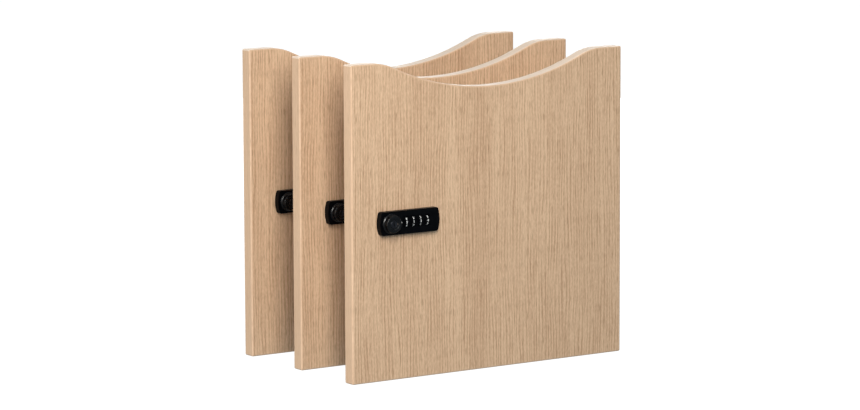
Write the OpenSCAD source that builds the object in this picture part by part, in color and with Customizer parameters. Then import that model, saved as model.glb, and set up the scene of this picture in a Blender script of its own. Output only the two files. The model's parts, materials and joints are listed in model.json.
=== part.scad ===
// A set of three lockable locker doors, standing one behind the other.
// Each door is an oak-faced board with a dipped top edge, a four-dial
// combination cam lock at its free edge and two cup hinges behind the other.
// The row frame has +X to the right across the doors, +Y from front to back
// and +Z up. Its origin is the middle of the whole set's footprint.

/* [Door board] */
// Width of one door
door_w = 405; // [360:1:520]
// Height of one door at its shoulders
door_h = 390; // [330:1:520]
// Thickness of the finished board
board_t = 18; // [16:0.5:22]
// Thickness of the decor sheet on each face
laminate_t = 0.8; // [0.5:0.1:1.2]
// Thickness of the edging on every side
edging_t = 2; // [0.8:0.1:2.5]
// How far the hand dip goes down from the shoulders
dip_depth = 37; // [25:1:55]
// Length of the level shoulder at each end of the dip
shoulder_w = 30.5; // [10:0.5:45]
// Radius that rolls each shoulder over into the dip
shoulder_r = 78; // [40:1:110]

/* [Set of doors] */
// Clear distance from one door's back to the next one's front
stand_gap = 99; // [85:1:200]

/* [Lock housing] */
// Length of the lock housing
lock_l = 88; // [86:1:110]
// Height of the lock housing
lock_h = 29; // [28:0.5:34]
// How far the housing stands out from the door
housing_d = 8; // [7:0.5:10]
// How far each end of the housing bows out
end_bow = 2.75; // [1.5:0.25:4]
// Radius of the housing's corners
corner_r = 2.2; // [1:0.1:4]
// Bevel round the housing's face
bevel = 1.8; // [0.5:0.1:2.5]
// Wall thickness of the housing
shell_t = 1.5; // [1.2:0.1:1.8]
// Distance from the door's free edge to the knob's axis
knob_from_edge = 50.5; // [40:0.5:100]
// Height of the lock's middle above the door's foot
lock_z = 195; // [60:1:260]

/* [Knob and latch] */
// Distance from the housing's end to the knob's axis
knob_from_end = 15; // [14:0.5:16]
// Radius of the knob where it meets the housing
knob_r = 12; // [10:0.25:12.5]
// Radius of the knob at its rim
knob_tip_r = 10.7; // [9:0.1:11.5]
// Height of the knob above the housing
knob_h = 9; // [7:0.5:12]
// Radius of the knob's spindle
spindle_r = 4; // [3.5:0.1:4.5]
// Side of the square end that drives the latch cam
square_side = 5.6; // [4.5:0.1:6]
// Radius of the key plug in the knob
plug_r = 4.4; // [4:0.1:5]
// Length of the key plug
plug_l = 7; // [5:0.5:8]
// Reach of the latch cam from the spindle's axis to its tip
cam_reach = 34; // [26:1:40]
// Width of the latch cam
cam_w = 15; // [13:0.5:18]
// Thickness of the latch cam
cam_t = 2.5; // [2:0.1:3]

/* [Dials] */
// Number of code dials
dial_count = 4; // [3:1:4]
// Digits on one dial
digits = 10; // [10:1:10]
// Radius of a dial
dial_r = 7.4; // [6.5:0.1:8.9]
// Width of a dial
dial_w = 7; // [6:0.1:7.4]
// Distance from one dial to the next
dial_pitch = 10.25; // [10:0.05:10.5]
// Distance from the knob's axis to the first dial
first_dial = 23.1; // [22:0.1:24]
// How far a dial stands out of the housing
dial_proud = 1.6; // [1:0.1:2]
// Radius of the rod that the dials turn on
axle_r = 1.5; // [1.2:0.1:1.8]
// Height of the bar that blocks the spindle when the code is wrong
bar_h = 5; // [4:0.1:6]
// Thickness of that bar
bar_t = 1.8; // [1.4:0.1:2.2]
// Travel of that bar
bar_travel = 1.8; // [1.5:0.1:2]
// Thickness of the leaf spring that clicks on the dials
leaf_t = 0.35; // [0.2:0.05:0.4]

/* [Lock body in the board] */
// How far the housing's ends cover the board past its slot
slot_cover_x = 5.5; // [4.5:0.1:6]
// How far the housing's long sides cover the board past its slot
slot_cover_z = 4; // [3.5:0.1:4.2]
// Thickness of the clamping plate on the door's back
back_plate_t = 1.5; // [1:0.1:2.5]

/* [Hinges] */
// Radius of the hinge cup's bore in the board
cup_bore_r = 17.5; // [17.5:0.5:17.5]
// Depth of the hinge cup's bore
cup_bore_d = 12; // [11.5:0.1:13]
// Distance from the door's edge to the cup's bore
cup_edge = 5; // [4:0.5:6]
// Height of the lower hinge, and depth of the upper one below the top
hinge_end = 80; // [60:1:110]
// How far the door covers the edge of the cabinet's side
overlay = 16.5; // [15:0.5:17]
// Reach of the hinge arm behind the door
arm_reach = 62; // [58:1:75]
// Distance from the door's back to the mounting plate's screw holes
plate_setback = 37; // [37:1:37]
// Distance between the two screw holes of a mounting plate
plate_hole_gap = 32; // [32:1:32]
// Radius of a mounting plate's screw hole
plate_hole_r = 2.5; // [2:0.1:2.6]

/* [Hidden] */
$fn = 96;
door_count = 3;
eps = 0.5;            // overrun of a cutter past the face that it opens
run_gap = 0.05;       // radial clearance of a turning fit
fit_gap = 0.2;        // clearance of a piece that drops into another

knob_gap = 0.15;      // space under the knob and under the cam
knob_front = housing_d + knob_gap + knob_h;
door_pitch = board_t + stand_gap;
hinge_zs = [hinge_end, door_h - hinge_end];
set_depth = knob_front + (door_count - 1) * door_pitch + board_t + arm_reach;
front_y = knob_front - set_depth / 2;

// Dip: a hollow arc of dip_r that runs into a shoulder arc at each end, each
// turning through dip_angle to where they meet.
dip_half = door_w / 2 - shoulder_w;
dip_r = (dip_half * dip_half + dip_depth * dip_depth) / (2 * dip_depth) - shoulder_r;
dip_centre = [0, door_h - dip_depth + dip_r];
shoulder_centre = [dip_half, door_h - shoulder_r];
dip_angle = atan(dip_half / (dip_r + shoulder_r - dip_depth));
dip_steps = 56;
shoulder_steps = 14;

// Lock, measured from its middle
knob_x = knob_from_end - lock_l / 2;
lock_x = knob_from_edge - door_w / 2 - knob_x;
end_r = (lock_h * lock_h / 4 + end_bow * end_bow) / (2 * end_bow);
slot_l = lock_l - 2 * slot_cover_x;
slot_h = lock_h - 2 * slot_cover_z;
flange_t = 2.4;
flange_in = shell_t + fit_gap;
chassis_back = board_t - 0.5;
boss_wall = 2.5;      // wall of the spindle's bearing
plate_l = lock_l - 4;
plate_h = lock_h - 2;

// Dials, on an axle set back so that each stands dial_proud out of the housing
dial_room = 0.8;      // space round a dial
rib_space = 0.52;     // space between a dial and a rib
axle_y = dial_r - housing_d - dial_proud;
dial_xs = [for (i = [0:dial_count - 1]) knob_x + first_dial + i * dial_pitch];
rib_xs = [for (i = [0:dial_count]) knob_x + first_dial + (i - 0.5) * dial_pitch];
rib_t = dial_pitch - dial_w - 2 * rib_space;
rib_h = 10;
pocket_floor = axle_y + dial_r + dial_room;
pocket_h = 2 * (dial_r + dial_room);
window_w = dial_w + dial_room;
dial_depth = dial_r - dial_proud - shell_t;   // from the axle to the housing's inner face
window_h = 2 * (sqrt(dial_r * dial_r - dial_depth * dial_depth) + dial_room / 2);
groove_r = 0.45;
finger_w = 5;
finger_l = 9;

// Blocking bar, in a groove behind the dials
bar_gap = 0.3;
bar_y = pocket_floor + 0.8;
bar_from = knob_x + spindle_r + bar_gap + 0.1;
bar_to = rib_xs[dial_count] - rib_t;
bar_back = bar_y + bar_t + bar_gap;
notch_depth = bar_travel + 0.1;
tab_w = 2;

// Cam and screws: each screw is [head, shank], and each of those is [radius, length]
square_l = cam_t + 0.1;
cam_y = board_t + back_plate_t + 2 * knob_gap;
cam_screw = [[4.4, 2.2], [1.9, 8]];
tip_web = 2.6;                                // chassis left between the bar's groove and a lock screw
lock_screw = [[3.3, 2], [1.6, board_t + back_plate_t - bar_back - tip_web]];
cup_screw = [[3.3, 2], [1.6, 11]];
screw_cross = [3.6, 2, 0.9];                  // slot of a screw's head: length, depth and width
keyway = [1.3, 5.6, 4];                       // keyway: width, height and depth
plug_sink = 0.9;                              // how far the key plug lies below the knob's rim
lock_screw_xs = [rib_xs[0] - 2, rib_xs[dial_count] + 1];

// Hinge, measured from the middle of its cup
hinge_x = door_w / 2 - cup_edge - cup_bore_r;
cup_r = cup_bore_r - 0.1;
cup_d = cup_bore_d - 0.2;
cup_wall = 1.2;
cup_flange_t = 1.2;
cup_rim = 1.6;        // how far the cup's rim covers the board round its bore
cup_flange = [17, 60];
cup_flange_x = -5.5;
cup_screw_z = 24;
pin_r = 1.25;
pin_half = 12.4;
pin_x = 11.5;
pin_y = board_t - 4.5;
knuckle_r = 2.8;
link_w = 10.8;
link_l = 19;
link_t = 2.8;

// Hinge arm and mounting plate, measured from the pin and from the door's back
arm_x = [-20, -11];
arm_w = 15;
arm_wall = 1.5;
arm_start = 2.5;
plate_face = cup_edge + cup_bore_r - pin_x - overlay;
wing_t = 2;
wing = [22, 48];
spine_from = 22;
spine_end_gap = 2;

// Points of an arc, from one angle to another.
function arc(centre, r, from, to, steps) =
    [for (i = [0:steps]) let (a = from + (to - from) * i / steps) centre + r * [cos(a), sin(a)]];

// The door's top edge from right to left, moved inwards by inset and between two sides.
function top_line(inset, side) = concat(
    [[door_w / 2 - side, door_h - inset]],
    arc(shoulder_centre, shoulder_r - inset, 90, 90 + dip_angle, shoulder_steps),
    arc(dip_centre, dip_r + inset, dip_angle - 90, -dip_angle - 90, dip_steps),
    arc([-shoulder_centre.x, shoulder_centre.y], shoulder_r - inset, 90 - dip_angle, 90, shoulder_steps),
    [[side - door_w / 2, door_h - inset]]
);

function reversed(points) = [for (i = [len(points) - 1:-1:0]) points[i]];

// Every name that belongs to door n.
function door_nodes(n) = concat(
    [for (p = ["core", "front_laminate", "back_laminate", "side_edging", "top_edging"])
        str("door_", n, "_", p)],
    [for (p = ["housing", "chassis", "back_plate", "knob", "key_plug", "cam", "blocking_bar"])
        str("lock_", n, "_", p)],
    [for (i = [1:dial_count]) str("lock_", n, "_dial_", i)],
    [for (p = ["cups", "arms", "mounting_plates"]) str("hinge_", n, "_", p)]
);

// Places a piece of door n, drawn with the door's front face at y = 0.
module at_door(n) translate([0, front_y + (n - 1) * door_pitch, 0]) children();

// Places a piece of the lock, drawn round the lock's middle.
module at_lock() translate([lock_x, 0, lock_z]) children();

// Draws an upright outline between two depths, y0 nearer the front.
module slab(y0, y1) translate([0, y1, 0]) rotate([90, 0, 0]) linear_extrude(y1 - y0) children();

// A round bar along the depth, between two depths.
module rod(r, y0, y1) translate([0, y1, 0]) rotate([90, 0, 0]) cylinder(r = r, h = y1 - y0);

// A round bar from one side to the other, centred on x.
module cross_rod(r, l) rotate([0, 90, 0]) cylinder(r = r, h = l, center = true);

module obround(l, h) {
    square([l - h, h], center = true);
    for (s = [-1, 1]) translate([s * (l - h) / 2, 0]) circle(d = h);
}

// ---- Board ----

// The outline of the core and of the decor sheets, inside the edging.
module board_outline() polygon(concat(
    [[edging_t - door_w / 2, edging_t], [door_w / 2 - edging_t, edging_t]],
    top_line(edging_t, edging_t)
));

// The holes that the lock and the hinges need, through whatever lies between y0 and y1.
module board_holes(y0, y1) {
    at_lock() slab(y0 - eps, y1 + eps) obround(slot_l, slot_h);
    for (z = hinge_zs) translate([hinge_x, 0, z]) {
        rod(cup_bore_r, max(y0 - eps, board_t - cup_bore_d), board_t + eps);
        for (s = [-1, 1]) translate([cup_flange_x, 0, s * cup_screw_z])
            rod(cup_screw[1][0], board_t + cup_flange_t - cup_screw[1][1], board_t + eps);
    }
}

module core() color("burlywood") difference() {
    slab(laminate_t, board_t - laminate_t) board_outline();
    board_holes(laminate_t, board_t - laminate_t);
}

module front_laminate() color([0.82, 0.68, 0.55]) difference() {
    slab(0, laminate_t) board_outline();
    at_lock() slab(-eps, laminate_t + eps) obround(slot_l, slot_h);
}

module back_laminate() color([0.82, 0.68, 0.55]) difference() {
    slab(board_t - laminate_t, board_t) board_outline();
    board_holes(board_t - laminate_t, board_t);
}

// Three strips: both upright edges and the foot between them.
module side_edging() color([0.83, 0.69, 0.56]) {
    for (x = [-door_w / 2, door_w / 2 - edging_t])
        translate([x, 0, 0]) cube([edging_t, board_t, door_h - edging_t]);
    translate([edging_t - door_w / 2, 0, 0]) cube([door_w - 2 * edging_t, board_t, edging_t]);
}

// One strip that follows the shoulders and the dip.
module top_edging() color([0.93, 0.85, 0.77])
    slab(0, board_t) polygon(concat(top_line(0, 0), reversed(top_line(edging_t, 0))));

// ---- Lock ----

// The housing's outline, inset all round: level top and foot, bowed ends.
module lock_outline(inset) intersection() {
    square([lock_l - 2 * inset, lock_h - 2 * inset], center = true);
    for (s = [-1, 1]) translate([s * (lock_l / 2 - end_r), 0]) circle(r = end_r - inset, $fn = 240);
}

module soft_lock_outline(inset) offset(r = corner_r, $fn = 32) offset(delta = -corner_r) lock_outline(inset);

module housing() color([0.05, 0.05, 0.06]) at_lock() difference() {
    hull() {
        slab(bevel - housing_d, 0) soft_lock_outline(0);
        slab(-housing_d, 0) soft_lock_outline(bevel);
    }
    intersection() {
        slab(shell_t - housing_d, eps) square([lock_l, lock_h - 2 * shell_t], center = true);
        slab(shell_t - housing_d, eps) lock_outline(shell_t);
    }
    for (x = dial_xs) translate([x, 0, 0])
        slab(-housing_d - eps, 0) square([window_w, window_h], center = true);
    translate([knob_x, 0, 0]) rod(spindle_r + 2 * fit_gap, -housing_d - eps, 0);
}

// The block that carries the dials and the spindle: a flange in the housing,
// a plug through the board's slot and a rib on each side of every dial.
module chassis() color([0.12, 0.12, 0.13]) at_lock() {
    pocket_l = dial_count * dial_pitch + rib_t + 2 * rib_space;
    pocket_x = (rib_xs[0] + rib_xs[dial_count]) / 2;
    difference() {
        union() {
            slab(-flange_t, 0) lock_outline(flange_in);
            slab(-eps, chassis_back) obround(slot_l - 2 * fit_gap, slot_h - 2 * fit_gap);
            translate([knob_x, 0, 0]) rod(spindle_r + boss_wall, -housing_d + shell_t + fit_gap, 0);
        }
        translate([pocket_x, (pocket_floor - flange_t - eps) / 2, 0])
            cube([pocket_l, pocket_floor + flange_t + eps, pocket_h], center = true);
        translate([knob_x, 0, 0]) rod(spindle_r + run_gap, -housing_d, chassis_back + eps);
        bar_channel();
        for (x = lock_screw_xs) translate([x, 0, 0])
            rod(lock_screw[1][0], board_t + back_plate_t - lock_screw[1][1] - fit_gap, chassis_back + eps);
    }
    for (x = rib_xs) difference() {
        rib_front = shell_t + fit_gap - housing_d;
        translate([x - rib_t / 2, rib_front, -rib_h / 2])
            cube([rib_t, pocket_floor - rib_front + eps, rib_h]);
        translate([x, axle_y, 0]) cross_rod(axle_r + run_gap / 2, rib_t + 1);
    }
}

// The groove that the blocking bar slides in, from the spindle to past the last dial.
module bar_channel() {
    translate([knob_x, bar_y - bar_gap, -bar_h / 2 - bar_gap])
        cube([bar_to + bar_gap - knob_x, bar_t + 2 * bar_gap, bar_h + 2 * bar_gap]);
    translate([rib_xs[0], pocket_floor - eps, -bar_h / 2 - bar_gap])
        cube([bar_to + bar_gap - rib_xs[0], bar_y - pocket_floor + eps, bar_h + 2 * bar_gap]);
}

// A flat bar with a tab under every dial. Its end drops into a notch of the spindle.
module blocking_bar() color("silver") at_lock() {
    translate([bar_from, bar_y, -bar_h / 2]) cube([bar_to - bar_from, bar_t, bar_h]);
    for (x = dial_xs) translate([x - tab_w / 2, pocket_floor - dial_room + bar_gap, -bar_h / 2])
        cube([tab_w, bar_y - pocket_floor + dial_room - bar_gap, bar_h]);
}

// A leaf against the pocket's wall, with one finger over each dial.
module detent_spring() at_lock() translate([0, 0, pocket_h / 2 - leaf_t]) {
    translate([dial_xs[0] - finger_w / 2, pocket_floor - dial_room - 2, 0])
        cube([(dial_count - 1) * dial_pitch + finger_w, 2, leaf_t]);
    for (x = dial_xs) translate([x - finger_w / 2, pocket_floor - dial_room - finger_l, 0])
        cube([finger_w, finger_l, leaf_t]);
}

module back_plate() color("silver") at_lock() difference() {
    slab(board_t, board_t + back_plate_t) square([plate_l, plate_h], center = true);
    translate([knob_x, 0, 0]) rod(spindle_r + 2 * fit_gap, board_t - eps, cam_y);
    for (x = lock_screw_xs) translate([x, 0, 0]) rod(lock_screw[1][0] + fit_gap, board_t - eps, cam_y);
}

module dial_axle() at_lock() {
    first = rib_xs[0] - rib_t / 2;
    last = rib_xs[dial_count] + rib_t / 2;
    translate([(first + last) / 2, axle_y, 0]) cross_rod(axle_r, last - first);
}

// A dial with a groove between each digit and the next.
module dial(i) color([0.08, 0.08, 0.09]) at_lock() translate([dial_xs[i - 1], axle_y, 0]) difference() {
    cross_rod(dial_r, dial_w);
    cross_rod(axle_r + run_gap, dial_w + 1);
    for (a = [0:digits - 1]) rotate([(a + 0.5) * 360 / digits, 0, 0])
        translate([0, -dial_r - groove_r / 3, 0]) cross_rod(groove_r, dial_w + 1);
}

// The turned part of the knob: half of its section, from the axis outwards.
function knob_section() = [
    [0, 0],
    [knob_r, 0],
    [knob_r - 0.1, 0.8],
    [knob_tip_r + 0.25, knob_h - 1],
    [knob_tip_r, knob_h - 0.4],
    [knob_tip_r - 0.6, knob_h],
    [plug_r + 2.6, knob_h - 0.2],
    [plug_r + 1.4, knob_h - 1],
    [0, knob_h - 1]
];

// Knob and spindle in one piece. The spindle has a notch for the blocking bar at
// each of its two positions, and ends in the square for the cam.
module knob() color([0.06, 0.06, 0.07]) at_lock() translate([knob_x, 0, 0]) difference() {
    union() {
        translate([0, -housing_d - knob_gap, 0]) rotate([90, 0, 0])
            rotate_extrude() polygon(knob_section());
        rod(spindle_r, -housing_d - 1, cam_y - knob_gap);
        slab(0, cam_y + square_l) square(square_side, center = true);
    }
    for (turn = [0, -90]) rotate([0, turn, 0])
        translate([spindle_r - notch_depth, bar_y - bar_gap, -bar_h / 2 - bar_gap])
            cube([notch_depth + eps, bar_t + 2 * bar_gap, bar_h + 2 * bar_gap]);
    rod(plug_r + run_gap, -knob_front - 1, -knob_front + plug_l);
    rod(cam_screw[1][0] + run_gap / 2, cam_y + square_l - cam_screw[1][1] - 1, cam_y + square_l + 1);
}

module key_plug() color("silver") at_lock() translate([knob_x, 0, 0]) difference() {
    plug_face = -knob_front + plug_sink;
    rod(plug_r, plug_face, -knob_front + plug_l - run_gap);
    translate([0, plug_face + keyway.z / 2 - eps / 2, 0])
        cube([keyway.x, keyway.z + eps, keyway.y], center = true);
}

// The latch cam on the square, with the screw that holds it there.
module cam() color("gainsboro") at_lock() translate([knob_x, 0, 0]) {
    difference() {
        slab(cam_y, cam_y + cam_t) union() {
            circle(d = cam_w);
            translate([-(cam_reach - cam_w / 4) / 2, 0]) square([cam_reach - cam_w / 4, cam_w - 3], center = true);
            translate([-cam_reach + cam_w / 4, 0]) square([cam_w / 2, cam_w - 6], center = true);
        }
        slab(cam_y - eps, cam_y + cam_t + eps) square(square_side + run_gap, center = true);
    }
    screw_seat = cam_y + square_l;
    rod(cam_screw[0][0], screw_seat, screw_seat + cam_screw[0][1]);
    rod(cam_screw[1][0], screw_seat - cam_screw[1][1], screw_seat);
}

// A pan-head screw driven forwards, its head resting at depth seat.
module screw(size, seat) difference() {
    union() {
        rod(size[0][0], seat, seat + size[0][1]);
        rod(size[1][0], seat - size[1][1], seat + eps);
    }
    for (a = [0, 90]) rotate([0, a, 0])
        translate([0, seat + size[0][1], 0]) cube(screw_cross, center = true);
}

// The six screws of a door: two in the lock and two in each hinge cup.
module door_screws() {
    at_lock() for (x = lock_screw_xs) translate([x, 0, 0]) screw(lock_screw, board_t + back_plate_t);
    for (z = hinge_zs) for (s = [-1, 1])
        translate([hinge_x + cup_flange_x, 0, z + s * cup_screw_z]) screw(cup_screw, board_t + cup_flange_t);
}

// ---- Hinges ----

// A pressed cup with its screw flange, and the pin through its walls.
module cup() {
    difference() {
        union() {
            rod(cup_r, board_t - cup_d, board_t);
            rod(cup_r + cup_rim, board_t, board_t + cup_flange_t);
            translate([cup_flange_x, 0, 0]) slab(board_t, board_t + cup_flange_t) square(cup_flange, center = true);
        }
        rod(cup_r - cup_wall, board_t - cup_d + cup_wall, board_t + cup_flange_t + eps);
        translate([pin_x, pin_y, 0]) cylinder(r = pin_r, h = 2 * pin_half, center = true);
        for (s = [-1, 1]) translate([cup_flange_x, 0, s * cup_screw_z])
            rod(cup_screw[1][0] + fit_gap, board_t - eps, board_t + cup_flange_t + eps);
    }
    translate([pin_x, pin_y, 0]) cylinder(r = pin_r, h = 2 * pin_half, center = true);
}

// The arm: a knuckle on the pin, a cranked link and a channel behind the door.
module arm() translate([pin_x, pin_y, 0]) difference() {
    back = board_t - pin_y;
    union() {
        cylinder(r = knuckle_r, h = link_w, center = true);
        translate([-link_l / 2, 0, 0]) cube([link_l, link_t, link_w], center = true);
        translate([-link_l, -link_t / 2, -link_w / 2]) cube([link_t, back + arm_start + link_t, link_w]);
        translate([arm_x[0], back + arm_start, -arm_w / 2])
            cube([arm_x[1] - arm_x[0], arm_reach - arm_start, arm_w]);
    }
    cylinder(r = pin_r + run_gap, h = link_w + 1, center = true);
    translate([arm_x[0] + arm_wall, back + arm_start + 2 * arm_wall, arm_wall - arm_w / 2])
        cube([arm_x[1] - arm_x[0], arm_reach, arm_w - 2 * arm_wall]);
}

// The mounting plate: a spine inside the arm's channel and a wing with two holes.
module mounting_plate() translate([pin_x, board_t, 0]) difference() {
    spine_w = arm_w - 2 * arm_wall - 2 * fit_gap;
    union() {
        translate([arm_x[0] + arm_wall, spine_from, -spine_w / 2])
            cube([plate_face - arm_x[0] - arm_wall, arm_reach - spine_end_gap - spine_from, spine_w]);
        translate([plate_face - wing_t, plate_setback - wing.x / 2, -wing.y / 2])
            cube([wing_t, wing.x, wing.y]);
    }
    for (s = [-1, 1]) translate([plate_face, plate_setback, s * plate_hole_gap / 2])
        cross_rod(plate_hole_r, 3 * wing_t);
}

module each_hinge() for (z = hinge_zs) translate([hinge_x, 0, z]) children();

// ---- Every node ----

module draw(n, piece) at_door(n) children();

for (n = [1:door_count]) {
    draw(n, str("door_", n, "_core")) core();
    draw(n, str("door_", n, "_front_laminate")) front_laminate();
    draw(n, str("door_", n, "_back_laminate")) back_laminate();
    draw(n, str("door_", n, "_side_edging")) side_edging();
    draw(n, str("door_", n, "_top_edging")) top_edging();
    draw(n, str("lock_", n, "_housing")) housing();
    draw(n, str("lock_", n, "_chassis")) chassis();
    draw(n, str("lock_", n, "_back_plate")) back_plate();
    draw(n, str("lock_", n, "_knob")) knob();
    draw(n, str("lock_", n, "_key_plug")) key_plug();
    draw(n, str("lock_", n, "_cam")) cam();
    draw(n, str("lock_", n, "_blocking_bar")) blocking_bar();
    for (i = [1:dial_count]) draw(n, str("lock_", n, "_dial_", i)) dial(i);
    draw(n, str("hinge_", n, "_cups")) color("gainsboro") each_hinge() cup();
    draw(n, str("hinge_", n, "_arms")) color("silver") each_hinge() arm();
    draw(n, str("hinge_", n, "_mounting_plates")) color("silver") each_hinge() mounting_plate();
    draw(n, "dial_axles") color("silver") dial_axle();
    draw(n, "detent_springs") color("silver") detent_spring();
    draw(n, "screws") color("silver") door_screws();
}
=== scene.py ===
# %% [markdown]
# # Three locker doors with dial locks
#
# Each door is an oak-faced board with a dipped top edge, a black combination cam lock near its
# free edge and two cup hinges at its back. The three stand one behind the other on a pale floor.
# The doors are already modelled, to size, as a fixed frame of plain parts. This lesson dresses
# that frame: it rounds the edging strips, moulds the lock's cover, turns the knob, prints the
# digits on the dials, softens the pressed metal, and gives every part its finish.

# %% Load the frame
import json
import math

import bmesh
import bpy
from mathutils import Matrix, Vector

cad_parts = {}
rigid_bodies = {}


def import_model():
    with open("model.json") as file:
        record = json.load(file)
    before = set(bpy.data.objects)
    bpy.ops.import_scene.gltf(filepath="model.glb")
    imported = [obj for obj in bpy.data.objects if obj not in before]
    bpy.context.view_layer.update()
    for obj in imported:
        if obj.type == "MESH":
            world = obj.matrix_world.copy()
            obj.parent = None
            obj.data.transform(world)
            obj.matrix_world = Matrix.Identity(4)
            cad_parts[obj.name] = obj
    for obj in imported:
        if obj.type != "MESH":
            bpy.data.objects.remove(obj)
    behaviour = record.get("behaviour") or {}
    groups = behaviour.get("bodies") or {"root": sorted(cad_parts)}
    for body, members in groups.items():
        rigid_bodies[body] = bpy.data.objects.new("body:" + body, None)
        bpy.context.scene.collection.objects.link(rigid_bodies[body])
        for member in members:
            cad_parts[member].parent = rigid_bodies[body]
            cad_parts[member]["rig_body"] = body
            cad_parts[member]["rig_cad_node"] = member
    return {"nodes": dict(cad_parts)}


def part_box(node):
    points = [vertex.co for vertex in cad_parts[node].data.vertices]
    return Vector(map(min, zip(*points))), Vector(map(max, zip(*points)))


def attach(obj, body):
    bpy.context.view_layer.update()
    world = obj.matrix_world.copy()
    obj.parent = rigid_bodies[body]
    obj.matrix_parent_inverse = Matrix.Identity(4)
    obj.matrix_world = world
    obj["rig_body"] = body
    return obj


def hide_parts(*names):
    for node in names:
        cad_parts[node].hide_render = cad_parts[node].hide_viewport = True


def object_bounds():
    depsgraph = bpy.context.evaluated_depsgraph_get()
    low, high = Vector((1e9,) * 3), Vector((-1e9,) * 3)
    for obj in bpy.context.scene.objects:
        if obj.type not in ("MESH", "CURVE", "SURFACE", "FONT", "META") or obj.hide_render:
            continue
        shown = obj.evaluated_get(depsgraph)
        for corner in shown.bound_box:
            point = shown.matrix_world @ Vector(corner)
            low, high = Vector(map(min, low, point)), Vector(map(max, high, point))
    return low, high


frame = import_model()
cad_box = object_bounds()
bpy.ops.object.select_all(action="DESELECT")

# %% [markdown]
# ## Places on the doors
#
# Every position could be typed in, but then it would be wrong as soon as a door changes size.
# So the places are read from the frame: a node's box gives the lock's middle, the knob's axis
# and the dials' axle. All doors are equal, so each piece is modelled once, on the front door,
# and its copies stand whole door pitches further back.

# %% Places, all in metres
MM = 0.001
DOORS = (1, 2, 3)
DIALS = (1, 2, 3, 4)


def middle(node):
    low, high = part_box(node)
    return (low + high) / 2


face_low, face_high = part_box("door_1_front_laminate")
edging_low, edging_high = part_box("door_1_side_edging")
housing_low, housing_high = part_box("lock_1_housing")
knob_low, knob_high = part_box("lock_1_knob")
plug_low, plug_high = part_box("lock_1_key_plug")
DOOR_FRONT = face_low.y
DOOR_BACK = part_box("door_1_back_laminate")[1].y
EDGING_T = face_low.x - edging_low.x
DOOR_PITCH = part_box("door_2_front_laminate")[0].y - DOOR_FRONT
HOUSING_FACE = housing_low.y
LOCK_MIDDLE = middle("lock_1_housing")
KNOB_AXIS = middle("lock_1_key_plug")
DIAL_MIDDLES = [middle(f"lock_1_dial_{dial}") for dial in DIALS]
DIAL_LOW, DIAL_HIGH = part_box("lock_1_dial_1")
DIAL_R = (DIAL_HIGH.z - DIAL_LOW.z) / 2
DIAL_W = DIAL_HIGH.x - DIAL_LOW.x
print(f"door pitch {DOOR_PITCH / MM:.1f} mm, edging {EDGING_T / MM:.1f} mm")
print(f"dial radius {DIAL_R / MM:.2f} mm, dial width {DIAL_W / MM:.2f} mm")

# %% [markdown]
# ## The camera
#
# The doors are seen from the left and a little from above. A short lens close by would make the
# front door look much larger than the rear one, so the camera stands several metres off with a
# long lens, as is usual for a catalogue.

# %% Camera
VIEW_YAW = math.radians(34.035)
VIEW_PITCH = math.radians(8.107)
VIEW_ROLL = math.radians(-0.2)
VIEW_DISTANCE = 4.573
LENS = 156.6
SENSOR_WIDTH = 36
AIM = Vector((-0.0888, DOOR_FRONT, 0.2117))

forward = Vector((
    math.sin(VIEW_YAW) * math.cos(VIEW_PITCH),
    math.cos(VIEW_YAW) * math.cos(VIEW_PITCH),
    -math.sin(VIEW_PITCH),
))
bpy.ops.object.camera_add(location=AIM - forward * VIEW_DISTANCE)
camera = bpy.context.object
camera.name = "product_camera"
camera.rotation_mode = "QUATERNION"
level_view = forward.to_track_quat("-Z", "Y")
camera.rotation_quaternion = level_view @ Matrix.Rotation(VIEW_ROLL, 3, "Z").to_quaternion()
camera.data.lens = LENS
camera.data.sensor_width = SENSOR_WIDTH
camera.data.clip_start = 0.1
camera.data.clip_end = 50
bpy.context.scene.camera = camera
print("camera stands at", [round(x, 3) for x in camera.location])

# %% [markdown]
# ## Shader maths
#
# A wood grain is arithmetic on noise. Nodes could be wired one by one, which hides the idea
# behind dozens of lines. Here a socket is wrapped in a small class, so that + - * on it add the
# Math nodes, and a finish reads like a formula. One method makes every other kind of node.

# %% Values and shaders


class Value:
    """A number, colour or vector that varies over a surface."""

    def __init__(self, shader, socket):
        self.shader = shader
        self.socket = socket

    def __add__(self, other):
        return self.shader.node("Math", {"operation": "ADD"}, [self, other])

    def __sub__(self, other):
        return self.shader.node("Math", {"operation": "SUBTRACT"}, [self, other])

    def __rsub__(self, other):
        return self.shader.node("Math", {"operation": "SUBTRACT"}, [other, self])

    def __mul__(self, other):
        return self.shader.node("Math", {"operation": "MULTIPLY"}, [self, other])

    __radd__ = __add__
    __rmul__ = __mul__


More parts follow.
